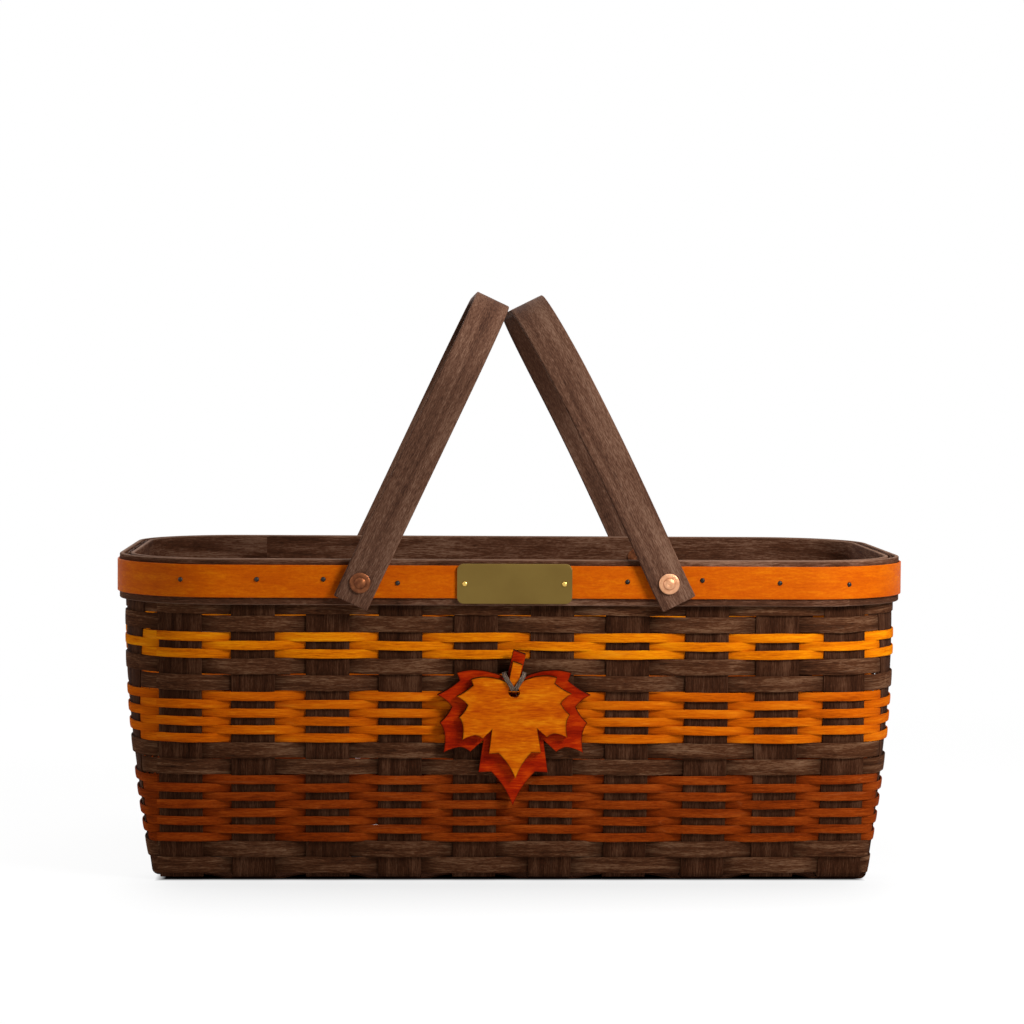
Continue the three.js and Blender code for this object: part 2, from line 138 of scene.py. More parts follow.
# Studio: white floor and surroundings, a small key near the right front, a wide fill far to the left, and
# wide lamps above and behind
studio = {
    "floorHalf": 9.0, "floorWhite": "#d8d8d8",
    "cameraGlow": 0.93, "cameraShare": 0.10, "fade": (0.5, 0.95),   # past the fade the floor is plain white
    "under": (0.2075, 0.105, 0.006), "underShare": 0.02,   # half sides and soft edge of the painted shade below
    "contact": (0.13, 0.35), "contactSamples": 16,   # reach and depth of the painted soft shade at the basket's foot
    "front": (-0.07, -0.125), "frontHalf": (0.245, 0.185),   # where that painted shade begins and is full, in Y and |X|
    "worldLight": 0.035,
    "lights": [   # place, size and watts
        ("key", (0.46, -0.50, 0.54), (0.24, 0.24), 5.1), ("fill", (-1.5, -0.35, 0.6), (1.0, 1.0), 4.6),
        ("top", (-0.05, 0.0, 1.6), (1.0, 0.8), 8.5), ("back", (-0.5, 1.4, 0.9), (1.0, 1.0), 10),
    ],
    "aim": (0.0, 0.0, 0.12),
}


def seenByEye(tree):   # camera, glossy and transmitted rays see the plain white
    rays = addNode(tree, "LightPath").outputs
    bent = addNode(tree, "Math", [rays["Is Glossy Ray"], rays["Is Transmission Ray"]], operation="MAXIMUM")
    return addNode(tree, "Math", [rays["Is Camera Ray"], bent], operation="MAXIMUM")


def layFloor(look):
    # a wide square; light meets matt white paint there, and the eye sees a white glow with a painted soft
    # shadow in it: dark below the basket, shaded in front of its foot by the share of the air that it hides,
    # and plain white past the fade
    half = look["floorHalf"]
    corners = [(-half, -half, 0), (half, -half, 0), (half, half, 0), (-half, half, 0)]
    mesh = bpy.data.meshes.new("floor")
    mesh.from_pydata(corners, [], [(0, 1, 2, 3)])
    floor = bpy.data.objects.new("floor", mesh)
    scene.collection.objects.link(floor)
    material, tree = newMaterial("studioFloor")
    paint = addNode(tree, "BsdfDiffuse", [linear(look["floorWhite"])])
    place = addNode(tree, "TexCoord").outputs["Object"]
    y = addNode(tree, "SeparateXYZ", [place]).outputs[1]
    folded = addNode(tree, "VectorMath", [place], operation="ABSOLUTE")
    sides = addNode(tree, "SeparateXYZ", [folded]).outputs
    # painted shade: the glow is cut below the basket and, by the hidden share of air, in front of its foot
    *halves, soft = look["under"]
    beyond = [addNode(tree, "MapRange", [sides[k], end - soft, end]) for k, end in enumerate(halves)]
    outside = addNode(tree, "Math", beyond, operation="MAXIMUM")
    reach, depth = look["contact"]
    nearby = addNode(tree, "AmbientOcclusion", {"Distance": reach}, samples=look["contactSamples"])
    hidden = addNode(tree, "Math", [1.0, nearby.outputs["AO"]], operation="SUBTRACT")
    ahead = addNode(tree, "MapRange", [y, *look["front"], 0, depth], interpolation_type="SMOOTHSTEP")
    between = addNode(tree, "MapRange", [sides[0], *look["frontHalf"]], interpolation_type="SMOOTHSTEP")
    mask = addNode(tree, "Math", [between, ahead], operation="MULTIPLY")
    foot = addNode(tree, "Math", [hidden, mask], operation="MULTIPLY")
    clear = addNode(tree, "MapRange", [foot, 0, 1, look["cameraGlow"], 0])
    strength = addNode(tree, "Math", [outside, clear], operation="MULTIPLY")
    glow = addNode(tree, "Emission", {"Strength": strength})
    share = addNode(tree, "MapRange", [outside, 0, 1, look["underShare"], look["cameraShare"]])
    near = addNode(tree, "AddShader", [addNode(tree, "BsdfDiffuse", [share]), glow])
    away = addNode(tree, "VectorMath", [place], operation="LENGTH")
    fade = addNode(tree, "MapRange", [away, *look["fade"]], interpolation_type="SMOOTHSTEP")
    shown = addNode(tree, "MixShader", [fade, near, addNode(tree, "Emission", {"Strength": 1.0})])
    both = addNode(tree, "MixShader", [seenByEye(tree), paint, shown])
    addNode(tree, "OutputMaterial", [both])
    mesh.materials.append(material)


def lightStudio(look):   # a dim world that looks white to the eye, and lamps turned to face the aim
    world = bpy.data.worlds.new("studio")
    scene.world = world
    world.use_nodes = True
    tree = world.node_tree
    tree.nodes.clear()
    strength = addNode(tree, "MapRange", [seenByEye(tree), 0, 1, look["worldLight"], 1])
    sky = addNode(tree, "Background", [(1, 1, 1, 1), strength])
    addNode(tree, "OutputWorld", [sky])
    for name, at, size, watts in look["lights"]:
        data = bpy.data.lights.new(name, "AREA")
        data.shape, data.energy = "RECTANGLE", watts
        data.size, data.size_y = size
        lamp = bpy.data.objects.new(name, data)
        scene.collection.objects.link(lamp)
        lamp.location = at
        lamp.rotation_euler = (Vector(at) - Vector(look["aim"])).to_track_quat("Z", "Y").to_euler()


layFloor(studio)
lightStudio(studio)
print("studio made")


# Woods
grainLook = {
    "roughness": 0.62, "figureShare": 0.5, "stops": (0.32, 0.50, 0.68),   # where the tones stand in the noise
    "contourMm": (170, 11), "contours": 4.0, "lineFrom": 0.955, "fleckFrom": (0.60, 0.74),
    "relief": (0.55, 0.00025),
}


def woodStrip(name, tones, pale, lineShare, fleckShare, fibre=(9, 0.7), figure=(60, 7), rough=(0.7, 0.9),
              paintedEdgeShare=0.6, shine=0.02, fleckMm=(14, 0.3), pore=(3.0, 0.6), poreShare=0.28, paintedEdgeTone=None):
    # thin sawn maple, dyed and left matt: fine long fibres, a slow light and dark figure, speckled pores,
    # pale contour lines and scratches where the dye is thin, and painted shade on edges and tucked ends (on
    # the bands a painted highlight, from their pale edge tone); UVs are metres along and across; pores, about
    # 0.1 mm wide, are drawn coarser so that they show
    material, tree = newMaterial(name)
    uv = addNode(tree, "UVMap")

    def strands(sizeMm, detail, twist=0.0):   # noise of sizeMm along and across the strip
        return grain(tree, uv, (*sizeMm, 1), detail, grainLook["roughness"], twist)

    fibres, slow = strands(fibre, detail=5), strands(figure, detail=2, twist=0.4)
    mixed = addNode(tree, "Mix", [grainLook["figureShare"], fibres, slow], data_type="FLOAT")
    dots = strands(pore, detail=2)
    pores = addNode(tree, "Math", [dots, poreShare, -poreShare / 2], operation="MULTIPLY_ADD")
    speckled = addNode(tree, "Math", [mixed, pores], operation="ADD")
    tone = addNode(tree, "ValToRGB", [speckled], stops=zip(grainLook["stops"], tones))
    rings = strands(grainLook["contourMm"], detail=1, twist=0.7)
    contour = addNode(tree, "Math", [rings, grainLook["contours"]], operation="MULTIPLY")
    saw = addNode(tree, "Math", [contour], operation="FRACT")
    lines = addNode(tree, "MapRange", [saw, grainLook["lineFrom"], 1, 0, lineShare])
    scratch = strands(fleckMm, detail=3)
    flecks = addNode(tree, "MapRange", [scratch, *grainLook["fleckFrom"], 0, fleckShare])
    thin = addNode(tree, "Math", [lines, flecks], operation="MAXIMUM")
    worn = addNode(tree, "Math", [thin, slow], operation="MULTIPLY")
    streaked = addNode(tree, "Mix", [worn, tone, linear(pale)], data_type="RGBA")
    # painted shade on edges and tucked ends, mixed in from the darkest tone or the given edge tone (a painted
    # highlight where that tone is pale)
    edge = addNode(tree, "Attribute", attribute_name="edge").outputs["Fac"]
    edgeShare = addNode(tree, "Math", [edge, paintedEdgeShare], operation="MULTIPLY")
    colour = addNode(tree, "Mix", [edgeShare, streaked, linear(paintedEdgeTone or tones[0])], data_type="RGBA")
    finishMaterial(tree, colour, fibres, rough, grainLook["relief"],
                   more={"IOR": 1.5, "Specular IOR Level": shine})
    return material


woods = {
    "upright": woodStrip("walnutStainedUpright", ("#1e0e07", "#3c2113", "#603f2c"), "#8e6c54", 0.15, 0.4,
                         fibre=(12, 0.7), fleckMm=(6, 0.4)),
    "darkWeaver": woodStrip("walnutStainedWeaver", ("#26130a", "#52301d", "#846046"), "#ac8a6e", 0.25, 0.35,
                            fibre=(7, 0.6), figure=(45, 4), fleckMm=(4, 0.4)),
    "goldenWeaver": woodStrip("goldenDyedWeaver", ("#b44c02", "#e87e04", "#ffa80e"), "#ffc650", 0.12, 0.15,
                              poreShare=0.15),
    "orangeWeaver": woodStrip("orangeDyedWeaver", ("#9c3e02", "#d06004", "#ea8210"), "#f6a84a", 0.15, 0.2,
                              poreShare=0.15),
    "rustWeaver": woodStrip("rustDyedWeaver", ("#571c04", "#8a3508", "#ae5016"), "#c87e48", 0.25, 0.3,
                            fleckMm=(5, 0.4), poreShare=0.25),
    # the bands' pale edge tone is a painted highlight on their edges
    "band": woodStrip("walnutStainedBand", ("#2a160c", "#563423", "#8e6a54"), "#b09078", 0.12, 0.5,
                      fleckMm=(4, 0.4), paintedEdgeShare=0.4, paintedEdgeTone="#a48470"),
    "trim": woodStrip("orangeDyedTrim", ("#be4e02", "#cd5c02", "#dc7204"), "#ee9428", 0.05, 0.08,
                      fibre=(5, 1.2), figure=(24, 7), rough=(0.5, 0.6), paintedEdgeShare=0.45, shine=0.04,
                      pore=(1.8, 0.9), poreShare=0.3),
    # the handle's dark edge tone is painted shade on its edges and on the inner face below the bend
    "handle": woodStrip("walnutStainedHandle", ("#39231a", "#624232", "#8a6854"), "#ac8e78", 0.25, 0.4,
                        fibre=(5, 0.5), figure=(80, 8), paintedEdgeShare=0.5, fleckMm=(5, 0.4), shine=0.05,
                        poreShare=0.45, paintedEdgeTone="#281208"),
}
print("woods made:", len(woods))


# Meshes: points[i, j] runs along the piece by i and round its section by j
crispAngle = math.radians(48)   # faces that meet more sharply than this show a crisp edge


def surface(name, points, material, along, around, body="basket", closed=False, edge=None, replaced=()):
    # a quad between each point and its neighbours along and round, where the last column meets the first; an
    # open path has a cap at each end, a closed one meets itself; faces turn over if the volume is negative
    rows, columns = points.shape[:2]
    i = np.arange(rows if closed else rows - 1)[:, None]
    j = np.arange(columns)[None, :]
    steps = [(i, j), (i + 1, j), (i + 1, j + 1), (i, j + 1)]   # the corners of each quad
    quads = np.stack([(a % rows) * columns + b % columns for a, b in steps], -1).reshape(-1, 4)
    u, v = (np.stack([np.broadcast_to(values[step[axis]], (len(i), columns)) for step in steps], -1).ravel()
            for axis, values in enumerate((along, around)))
    flat = points.reshape(-1, 3)
    a, b, c, d = (flat[quads[:, k]] for k in range(4))
    volume = np.einsum("ij,ij->", a, np.cross(b, c)) + np.einsum("ij,ij->", a, np.cross(c, d))
    corners, uvs, sizes = quads.ravel(), np.stack([u, v], -1), np.full(len(quads), 4)
    for row, way in () if closed else ((0, 1), (rows - 1, -1)):   # the caps, one wound the other way
        section = np.arange(columns)[::way]
        corners = np.append(corners, row * columns + section)
        uvs = np.vstack([uvs, np.stack([np.full(columns, along[row]), around[section]], -1)])
        sizes = np.append(sizes, columns)
    mesh = bpy.data.meshes.new(name)
    mesh.vertices.add(len(flat))
    mesh.vertices.foreach_set("co", (flat * mm).astype(np.float32).ravel())
    mesh.loops.add(len(corners))
    mesh.loops.foreach_set("vertex_index", corners.astype(np.int32))
    mesh.polygons.add(len(sizes))
    mesh.polygons.foreach_set("loop_start", np.concatenate([[0], np.cumsum(sizes)[:-1]]).astype(np.int32))
    layer = mesh.uv_layers.new(name="strip")
    layer.data.foreach_set("uv", (uvs * mm).astype(np.float32).ravel())
    mesh.update(calc_edges=True)
    mesh.validate()
    if volume < 0:
        mesh.flip_normals()
    mesh.polygons.foreach_set("use_smooth", np.ones(len(mesh.polygons), bool))
    mesh.set_sharp_from_angle(angle=crispAngle)
    if edge is not None:
        mark = mesh.attributes.new("edge", "FLOAT", "POINT")
        mark.data.foreach_set("value", np.broadcast_to(edge, points.shape[:2]).astype(np.float32).ravel())
    mesh.materials.append(material)
    piece = bpy.data.objects.new(name, mesh)
    scene.collection.objects.link(piece)
    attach(piece, body)
    if replaced:
        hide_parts(*replaced)


def boxMiddle(node):   # middle and size of a CAD node's box, mm
    low, high = (np.array(corner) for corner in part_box(node))
    return (low + high) / 2 / mm, (high - low) / mm


def boxHeights(node):   # lowest and highest Z of a CAD node's box, mm
    return [corner.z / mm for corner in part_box(node)]


def asPoints(x, y, z):   # three coordinates, spread to one shape
    return np.stack(np.broadcast_arrays(x, y, z), -1)


def lengthAlong(path):   # the running sum of the steps from point to point, from 0
    return np.concatenate([[0], np.cumsum(np.linalg.norm(np.diff(path, axis=0), axis=1))])


def stripSection(width, thickness, radius, faceSteps=6, bendSteps=3, edgeReach=0.9):
    # rounded rectangle walked once round: across the strip, through it, the way walked, and a mark that rises
    # to 1 over the last edgeReach mm of the width
    w, t, r = width / 2, thickness / 2, radius
    share = np.linspace(1, -1, faceSteps + 2)[1:-1]
    v, h = [], []
    for k, (x, y) in enumerate([(w - r, t - r), (r - w, t - r), (r - w, r - t), (w - r, r - t)]):
        angle = np.linspace(0, np.pi / 2, bendSteps + 1) + k * np.pi / 2
        v.append(x + r * np.cos(angle))
        h.append(y + r * np.sin(angle))
        if k % 2 == 0:   # faces get points between their bends
            v.append(x * share)
            h.append(np.full(faceSteps, h[-1][-1]))
    v, h = np.concatenate(v), np.concatenate(h)
    around = lengthAlong(np.stack([np.append(v, v[0]), np.append(h, h[0])], -1))
    mark = np.clip((np.abs(v) - (w - edgeReach)) / edgeReach, 0, 1) ** 2
    return v, h, around, mark


def endInset(along, radius):   # how far a strip draws in by a quarter circle over its last stretch
    near = np.minimum(along - along[0], along[-1] - along)
    left = np.clip(radius - near, 0, radius)
    return radius - np.sqrt(np.maximum(radius ** 2 - left ** 2, 0))


def withEnds(along, radius):   # extra rows close to both ends of a path
    close = radius * np.array([0.08, 0.3, 0.62, 1.0])
    return np.unique(np.concatenate([along, along[0] + close, along[-1] - close]))


# The wall: bellied upright lines from a small-cornered base outline to a round-cornered rim
bandLow, bandHigh = boxHeights("outer_band")
wall = {
    "halfLength": 207.95, "halfWidth": 100.95, "flare": 18.8, "belly": 5.3,
    "baseCorner": 4.0, "rimCorner": 60.0, "foot": 1.8, "step": 2.6, "cornerSteps": 7,
    "uprights": (10, 5), "splintWidth": 25.1, "pitch": 42.8,   # along the front, and at an end
    "edgeMark": 0.55,   # painted shade on a strip's edges, as a share of that on its tucked ends
    "crossShift": (1, 0, 0, -1, -0.5, 0.7, 1.4, 4.4, 2.4, -0.8),   # uprights set off their even places, one by one
}
crossAt, lengthAt = ((np.arange(count) - (count - 1) / 2) * wall["pitch"] for count in wall["uprights"])
crossAt = crossAt + np.array(wall["crossShift"])


def outline(grow, corner, isEnd, along):   # distance out and turn of a side: flat, then the corner's arc
    halves = (wall["halfWidth"] + grow, wall["halfLength"] + grow)
    half, across = halves if isEnd else halves[::-1]
    past = np.clip(np.abs(along) - half + corner, 0, corner)
    turn = np.arcsin(past / corner)
    return across - corner * (1 - np.cos(turn)), turn * np.sign(along)


def rise(z):   # 0 at the foot of the wall and 1 from the rim's lower edge up
    return np.clip((z - wall["foot"]) / (bandLow - wall["foot"]), 0, 1)


def belly(k):   # a parabola over the wall's rise, full half way up
    return wall["belly"] * 4 * k * (1 - k)


def wallAt(isEnd, along, z):
    # distance out and turn of the wall: the base and rim outlines mixed by the rise, and the belly added
    baseReach, baseTurn = outline(0, wall["baseCorner"], isEnd, along)
    rimReach, rimTurn = outline(wall["flare"], wall["rimCorner"], isEnd, along)
    k = rise(z)
    return baseReach + (rimReach - baseReach) * k + belly(k), baseTurn + (rimTurn - baseTurn) * k


sideEnds = [(count - 1) / 2 * wall["pitch"] + wall["splintWidth"] / 2 for count in wall["uprights"]]
sideCounts = [int(2 * end / wall["step"]) for end in sideEnds]


def makeRing():
    # stations once round the basket from the front's left: straight runs along the four sides of the base and
    # the rim outline, joined by their corner arcs; "out" is the way the wall's belly pushes each station
    outlines = []
    for grow, corner in ((0, wall["baseCorner"]), (wall["flare"], wall["rimCorner"])):
        points, turns, out = [], [], []
        for side in range(4):
            isEnd, way = side % 2 == 1, 1 if side < 2 else -1
            end, facing = sideEnds[side % 2], np.pi / 2 * (side - 1)
            along = np.linspace(-end, end, sideCounts[side % 2]) * way
            reach, turn = outline(grow, corner, isEnd, along)
            reach = reach * (-1 if side in (0, 3) else 1)
            points.append(np.stack([reach, along] if isEnd else [along, reach], -1))
            turns.append(facing + turn * way)
            out.append(np.full(len(along), facing))
            share = np.linspace(0, 1, wall["cornerSteps"] + 2)[1:-1]
            centre = np.array([wall["halfLength"] + grow - corner, wall["halfWidth"] + grow - corner])
            centre = centre * np.array([(1, -1), (1, 1), (-1, 1), (-1, -1)][side])
            arc = facing + np.pi / 4 + (2 * share - 1) * (np.pi / 4 - abs(turn[-1]))
            points.append(centre + corner * np.stack([np.cos(arc), np.sin(arc)], -1))
            turns.append(arc)
            out.append(facing + share * np.pi / 2)
        outlines.append((np.concatenate(points), np.concatenate(turns)))
    (base, baseTurn), (rim, rimTurn) = outlines
    middle = np.concatenate([(base + rim) / 2, (base[:1] + rim[:1]) / 2])
    out = np.concatenate(out)
    return {"base": base, "rim": rim, "baseTurn": baseTurn, "rimTurn": rimTurn, "s": lengthAlong(middle),
            "out": np.stack([np.cos(out), np.sin(out)], -1)}


ring = makeRing()
stations = len(ring["base"])


def uprightPlaces():   # where the middle of each upright falls along the ring, in order
    places, at = [], 0
    for side in range(4):
        isEnd, way = side % 2 == 1, 1 if side < 2 else -1
        count = sideCounts[side % 2]
        along = ring["base"][at:at + count, 1 if isEnd else 0] * way
        centres = np.sort((lengthAt if isEnd else crossAt) * way)
        places.append(np.interp(centres, along, ring["s"][at:at + count]))
        at += count + wall["cornerSteps"]
    return np.concatenate(places)


uprights = uprightPlaces()


def wallPoints(index, z, offset):
    # the stations' base and rim points mixed by the rise, pushed out by the belly, and then by the offset
    # along the way the wall faces there
    k = rise(z)

    def mixed(base, rim):   # from base to rim by the rise
        return base[index, None] * (1 - k) + rim[index, None] * k

    turn = mixed(ring["baseTurn"], ring["rimTurn"])
    x, y = (mixed(ring["base"][:, axis], ring["rim"][:, axis]) + belly(k) * ring["out"][index, axis, None]
            for axis in (0, 1))
    return asPoints(x + offset * np.cos(turn), y + offset * np.sin(turn), z)


def weaveShare(place, centres, level):
    # 1 over the first upright, -1 over the next and so on: level near each centre, a half cosine wave between
    k = np.clip(np.searchsorted(centres, place, side="right") - 1, 0, len(centres) - 2)
    gap = centres[k + 1] - centres[k]
    x = np.clip((place - centres[k] - level) / (gap - 2 * level), 0, 1)
    return (1 - 2 * (k % 2)) * np.cos(np.pi * x)


total = ring["s"][-1]
hoopCentres = np.concatenate([uprights[-1:] - total, uprights, uprights[:1] + total])
ringWeave = -weaveShare(ring["s"][:-1], hoopCentres, 0.0)   # 1 where an even upright is passed outside
print("ring:", stations, "stations,", len(uprights), "uprights")

# Splints: cross splints lie flat in the base, lengthwise ones wave under and over them; both climb the walls
splints = {
    "thickness": 1.0, "edge": 0.35, "bend": 3.6, "topDrop": 0.5, "crossLevel": 1.8, "wave": 1.3,
    "level": 11.5, "crossEdge": 98.15, "lengthEdge": 205.15, "wallRows": 46, "bendRows": 7, "baseRows": 120,
    "grainShift": 137.0, "endGrain": 700, "grainAcross": 0.37,   # mm that moves the grain from strip to strip
}


def splintStrip(name, centre, isEnd, levelAt, baseEdge):
    # a flat section carried down one wall, round a quarter bend, over the base at its level and up again
    v, h, around, mark = stripSection(wall["splintWidth"], splints["thickness"], splints["edge"], faceSteps=8)
    line = centre + v
    bend = splints["bend"]
    parts = []
    for out in (-1, 1):
        level = levelAt(np.array([out * baseEdge]))[0]
        heights = np.linspace(level + bend, bandHigh - splints["topDrop"], splints["wallRows"])[:, None]
        reach, turn = wallAt(isEnd, line[None, :], heights)
        climb = asPoints(line + h * np.sin(turn), out * (reach + h * np.cos(turn)), heights)
        angle = np.linspace(0, np.pi / 2, splints["bendRows"], endpoint=False)[:, None]
        middle = wallAt(isEnd, line, level + bend)[0] - bend
        turned = asPoints(line, out * (middle + (bend + h) * np.sin(angle)),
                          level + bend - (bend + h) * np.cos(angle))
        leg = np.concatenate([turned, climb])
        parts.append(leg if out > 0 else leg[::-1])
    across = np.linspace(-baseEdge, baseEdge, splints["baseRows"])[1:-1, None]
    points = np.concatenate([parts[0], asPoints(line, across, levelAt(across) - h), parts[1]])
    along = lengthAlong(points.mean(1))
    if isEnd:
        points = points[..., [1, 0, 2]]
    shift = splints["grainShift"] * float(name[-2:]) + (splints["endGrain"] if isEnd else 0)
    # the edge mark paints shade along the strip's edges
    surface(name + "_strip", points, woods["upright"], along + shift, around + shift * splints["grainAcross"],
            edge=mark * wall["edgeMark"], replaced=[name])


for k, centre in enumerate(crossAt):
    splintStrip(f"cross_splint_{k + 1:02d}", centre, False,
                lambda y: np.full(np.shape(y), splints["crossLevel"]), splints["crossEdge"])
for k, centre in enumerate(lengthAt):
    lift = splints["wave"] * (1 if k % 2 == 0 else -1)   # over or under the first cross splint
    splintStrip(f"length_splint_{k + 1:02d}", centre, True,
                lambda x: splints["crossLevel"] + lift * weaveShare(x, crossAt, splints["level"]),
                splints["lengthEdge"])
print("splints made:", len(crossAt) + len(lengthAt))

# Weavers: hoops in plain weave, fuller where they pass over an upright and drawn in between
weavers = {
    "wide": (9.3, 9.0), "narrow": (5.3, 5.1), "foot": (9.8, 9.75),   # width over an upright, and between two
    "offset": 1.6, "rimOffset": 1.2, "thickness": 0.95, "edge": 0.3, "crown": 0.12,
    "paintedDiveShade": (0.2, 0.8),   # shares of the wave over which a strip darkens with painted shade as it dives
    "sway": 0.30, "ownSway": 0.20, "ragged": 0.03,   # mm of rise and fall along a row, and share of its width
    "swayWaves": (3, 5, 9, 14), "ownWaves": (11, 17, 29), "raggedWaves": (41, 67, 83),   # waves in a round
    "seed": 11, "phase": 6.28,   # a wave begins anywhere in a full turn
    "grainShift": 211.0, "grainAcross": 0.53,
    "rows": [(2, "wide", "dark"), (3, "narrow", "golden"), (2, "wide", "dark"), (6, "narrow", "orange"),
             (2, "wide", "dark"), (8, "narrow", "rust"), (2, "foot", "dark")],   # from the top down
}
rng = np.random.default_rng(weavers["seed"])


def sway(waves):   # a slow closed line round the basket, the mean of a few sines of whole waves
    phases = rng.uniform(0, weavers["phase"], len(waves))
    turn = 2 * np.pi * ring["s"][:-1, None] / total
    return np.sin(turn * np.array(waves) + phases).sum(1, keepdims=True) / len(waves)


sharedSway = weavers["sway"] * sway(weavers["swayWaves"])


def weaverHoop(node, parity, widths, dye, number):
    # a flat section carried round the ring, waved out over one upright and in behind the next, drawn in
    # between them, swaying up and down, and with a low crown on both faces
    low, high = boxHeights(node)
    full, drawn = widths
    v, h, around, mark = stripSection(full, weavers["thickness"], weavers["edge"], faceSteps=4)
    share = ringWeave[:, None] * parity
    width = drawn + (full - drawn) * np.abs(share)
    own = weavers["ownSway"] * sway(weavers["ownWaves"])
    ragged = 1 + weavers["ragged"] * sway(weavers["raggedWaves"])
    middle = (low + high) / 2 + sharedSway + own
    z = middle + v * (width * ragged / full)
    crown = weavers["crown"] * (1 - (2 * v / full) ** 2)
    depth = weavers["rimOffset" if high > bandLow else "offset"]   # held close where the rim clasps it
    offset = depth * share + h + crown * np.sign(h)
    points = wallPoints(np.arange(stations), z, offset)
    # painted shade where the strip dives behind an upright, and on its edges
    paintedDiveShade = np.clip((weavers["paintedDiveShade"][0] - share * np.sign(h)) / weavers["paintedDiveShade"][1], 0, 1)
    mark = np.maximum(mark * wall["edgeMark"], paintedDiveShade)
    shift = weavers["grainShift"] * number
    surface(node + "_strip", points, woods[dye + "Weaver"], ring["s"] + shift,
            around + shift * weavers["grainAcross"], closed=True, edge=mark, replaced=[node])


rows = [(width, dye) for count, width, dye in weavers["rows"] for _ in range(count)]
for number, (width, dye) in enumerate(rows, 1):
    weaverHoop(f"weaver_{number:02d}", 1 if number % 2 == 1 else -1, weavers[width], dye, number)
print("weavers made:", len(rows))

# Rim: a hidden weaver between two bands, and the trim round the outer one; each band is lapped and skived
stout = {"thickness": 2.5, "edge": 0.7, "wood": "band", "slot": "dark_band", "lap": 42, "tip": 0.6,
         "lift": 0.25}   # what the outer and inner bands share
rim = {
    "startEdge": 0.05, "endRound": 0.4, "endThin": 0.5, "grainShift": 31,   # the start is thicker by its edge
    "bands": [
        {"node": "outer_band", "middle": 3.15, "seam": 0.285, **stout},
        {"node": "inner_band", "middle": -3.15, "seam": 0.755, **stout},
        {"node": "trim_band", "middle": 5.2, "seam": 0.62, "thickness": 1.0, "edge": 0.3, "wood": "trim",
         "slot": "orange_trim", "lap": 30, "tip": 0.35, "lift": 0.12},
    ],
}
rimLow, rimHigh = boxHeights("rim_weaver")
weaverHoop("rim_weaver", -1, (rimHigh - rimLow, rimHigh - rimLow), "dark", len(rows) + 1)


def lappedBand(band):
    # a strip that goes once round and a lap further: its start is skived thin under its end
    low, high = boxHeights(band["node"])
    start = int(np.searchsorted(ring["s"], band["seam"] * total))
    extra = int(band["lap"] / wall["step"])
    order = (start + np.arange(stations + extra)) % stations
    along = np.concatenate([[0], np.cumsum(np.diff(ring["s"])[order[:-1]])])
    full, tip, least = band["thickness"], band["tip"], rim["startEdge"]
    lap = along[-1] - total
    startShare = np.clip(along / lap, 0, 1)[:, None]
    endShare = np.clip((along - total) / lap, 0, 1)[:, None]
    outward = np.sign(band["middle"])
    near = abs(band["middle"]) - full / 2
    faceFar = near + tip + (full - tip - least) * startShare + least + band["lift"] * endShare
    faceNear = near + (full - tip) * endShare + band["lift"] * endShare
    v, h, around, mark = stripSection(high - low, full, band["edge"], faceSteps=10)
    draw = endInset(along, rim["endRound"])[:, None]
    middle, half = (faceFar + faceNear) / 2, (faceFar - faceNear) / 2
    z = (low + high) / 2 + v * (1 - draw / (high - low) * 2)
    offset = outward * (middle + h / (full / 2) * (half - draw * rim["endThin"]))
    points = wallPoints(order, z, offset)
    # the edge mark paints a highlight on the bands' edges and shade on the trim's
    surface(band["node"] + "_lapped", points, woods[band["wood"]], along,
            around + rim["grainShift"] * band["middle"], edge=mark, replaced=[band["node"]])


for band in rim["bands"]:
    lappedBand(band)
print("rim made")

# Handles: flat strips steam-bent over the basket, leaning in until they meet
handles = {
    "width": 21.0, "thickness": 3.5, "edge": 0.9, "reach": 180.5, "tail": 13.0, "bend": 57.0,
    "legFace": 126.45, "halfSpan": 88.4, "meet": -2.0, "fit": 0.3, "step": 2.2, "endRound": 0.8,
    "endThin": 0.5, "edgeMark": 0.3, "paintedBendShade": 55.0,   # mm below the bend over which the inner face gets painted shade
    "flex": {-1: 0.0, 1: 1.9},   # mm that a handle bows out half way up
    "grainShift": 900, "grainAcross": 77,
}


